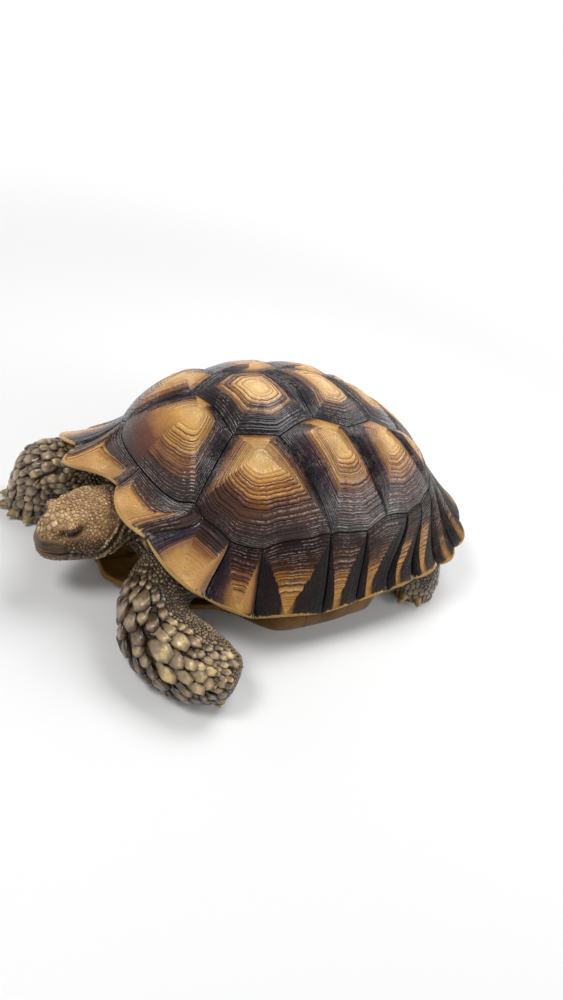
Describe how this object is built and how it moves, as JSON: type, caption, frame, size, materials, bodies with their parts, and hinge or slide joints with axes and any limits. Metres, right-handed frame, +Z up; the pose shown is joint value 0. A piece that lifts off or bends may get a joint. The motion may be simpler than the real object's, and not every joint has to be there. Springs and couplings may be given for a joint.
{
  "type": "sulcata tortoise",
  "caption": "Life-size still model of an adult sulcata tortoise at rest: domed shell of separate scutes, head half out, left forearm laid flat, hind legs tucked under the rim.",
  "frame": {"origin": "middle of the whole animal's box, on the ground", "axes": "+Z up, the head points to -Y, the animal's left side is +X"},
  "size_m": [0.352, 0.4662, 0.1869],
  "materials": {
    "crown_scute": "horn with fine growth rings, wet sheen, pale tan middle in a charcoal border",
    "side_scute": "horn with fine growth rings, wet sheen, tan middle going to chocolate brown",
    "rim_scute": "horn with growth stripes, tan with dark wedges",
    "plastron": "worn pale horn",
    "skin": "scaly, olive brown, small grains to large pointed scales",
    "beak": "dull horn",
    "claw": "worn horn",
    "eye": "wet, dark brown"
  },
  "bodies": {
    "root": {"plastron": "plastron", "vertebral_1": "crown_scute", "vertebral_2": "crown_scute", "vertebral_3": "crown_scute", "vertebral_4": "crown_scute", "vertebral_5": "crown_scute", "pleural_left_1": "side_scute", "pleural_right_1": "side_scute", "pleural_left_2": "side_scute", "pleural_right_2": "side_scute", "pleural_left_3": "side_scute", "pleural_right_3": "side_scute", "pleural_left_4": "side_scute", "pleural_right_4": "side_scute", "marginal_left_1": "rim_scute", "marginal_right_1": "rim_scute", "marginal_left_2": "rim_scute", "marginal_right_2": "rim_scute", "marginal_left_3": "rim_scute", "marginal_right_3": "rim_scute", "marginal_left_4": "rim_scute", "marginal_right_4": "rim_scute", "marginal_left_5": "rim_scute", "marginal_right_5": "rim_scute", "marginal_left_6": "rim_scute", "marginal_right_6": "rim_scute", "marginal_left_7": "rim_scute", "marginal_right_7": "rim_scute", "marginal_left_8": "rim_scute", "marginal_right_8": "rim_scute", "marginal_left_9": "rim_scute", "marginal_right_9": "rim_scute", "marginal_left_10": "rim_scute", "marginal_right_10": "rim_scute", "marginal_left_11": "rim_scute", "marginal_right_11": "rim_scute", "supracaudal": "rim_scute", "trunk": "skin", "neck": "skin", "head": "skin", "jaw": "beak", "eye_left": "eye", "eye_right": "eye", "tail": "skin", "front_leg_left": "skin", "front_leg_right": "skin", "rear_leg_left": "skin", "rear_leg_right": "skin"}
  },
  "joints": []
}
